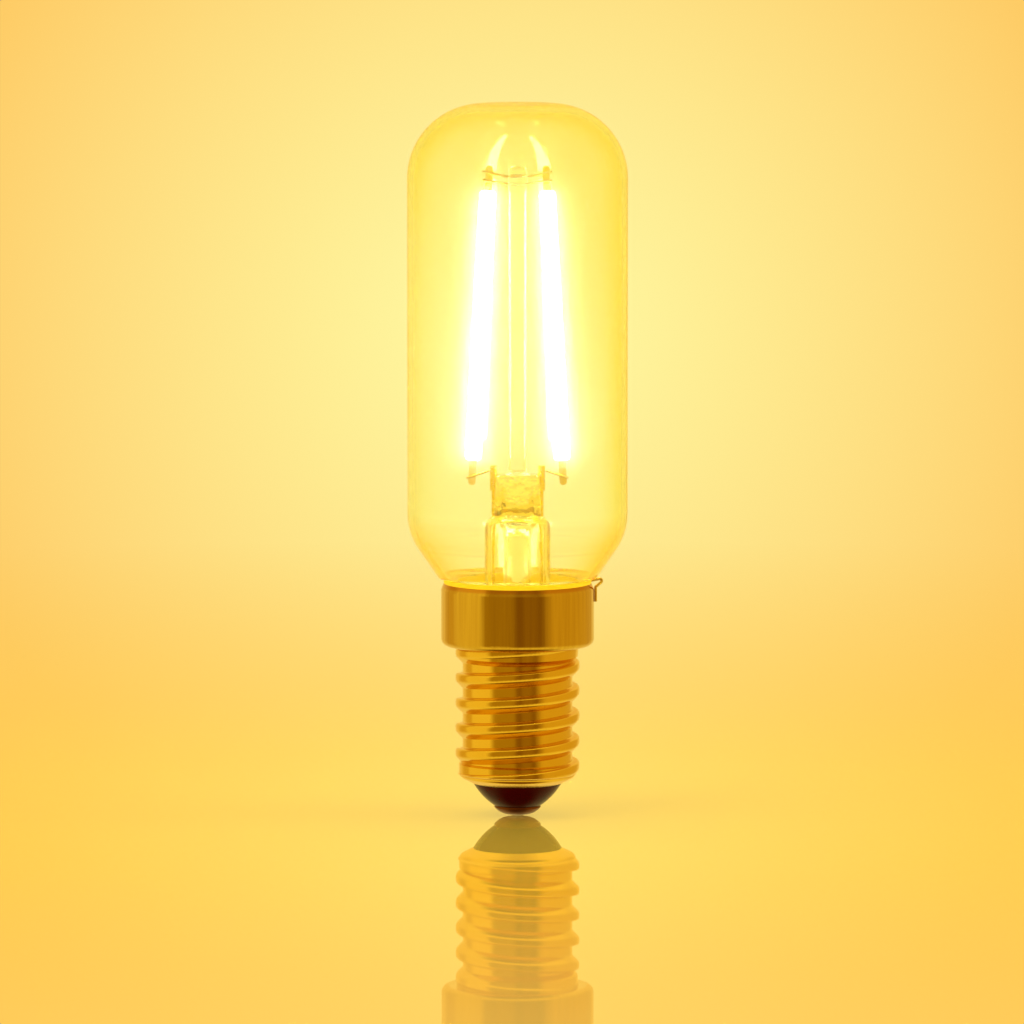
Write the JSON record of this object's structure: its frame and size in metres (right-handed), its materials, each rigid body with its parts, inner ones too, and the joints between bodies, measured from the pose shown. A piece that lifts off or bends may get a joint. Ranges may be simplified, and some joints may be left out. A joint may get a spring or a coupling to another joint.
{
  "type": "led filament bulb",
  "caption": "Clear tubular glass lamp with long light filaments on a glass stem, a skirted brass screw cap with a rolled thread, and a dark insulator with a centre contact.",
  "frame": {"origin": "tip of the solder on the centre contact, the lowest point of the cap, on the lamp's axis", "axes": "+Z along the lamp's axis from the cap to the dome, +X through the right-hand filament and the side wire, -Y towards the picture's camera"},
  "size_m": [0.0246, 0.0246, 0.0798],
  "materials": {
    "envelope_glass": "clear, light amber tint",
    "stem_glass": "clear",
    "shell_brass": "polished",
    "contact_brass": "satin",
    "dark_glass": "glossy",
    "solder": "satin",
    "wire_nickel": "satin",
    "wire_copper": "satin",
    "phosphor": "lit, matte",
    "cement": "matte",
    "sleeve_film": "matte",
    "board": "matte",
    "chip": "matte",
    "capacitor": "glossy",
    "resistor": "matte"
  },
  "bodies": {
    "root": {"glass_envelope": "envelope_glass", "stem_flare": "stem_glass", "exhaust_tube": "stem_glass", "support_rod": "stem_glass", "lead_wire_left": "wire_nickel", "lead_wire_right": "wire_nickel", "hook_wire_left": "wire_nickel", "hook_wire_right": "wire_nickel", "anchor_wire_upper": "wire_nickel", "anchor_wire_lower": "wire_nickel", "filament_left": "phosphor", "filament_right": "phosphor", "tab_left_lower": "wire_nickel", "tab_left_upper": "wire_nickel", "tab_right_lower": "wire_nickel", "tab_right_upper": "wire_nickel", "cap_shell": "shell_brass", "insulator": "dark_glass", "centre_contact": "contact_brass", "tip_solder": "solder", "side_wire": "wire_copper", "cement_ring": "cement", "insulating_sleeve": "sleeve_film", "driver_board": "board", "bridge_rectifier": "chip", "driver_chip": "chip", "input_resistor": "resistor", "smoothing_capacitor": "capacitor", "live_wire": "wire_copper"}
  },
  "joints": []
}
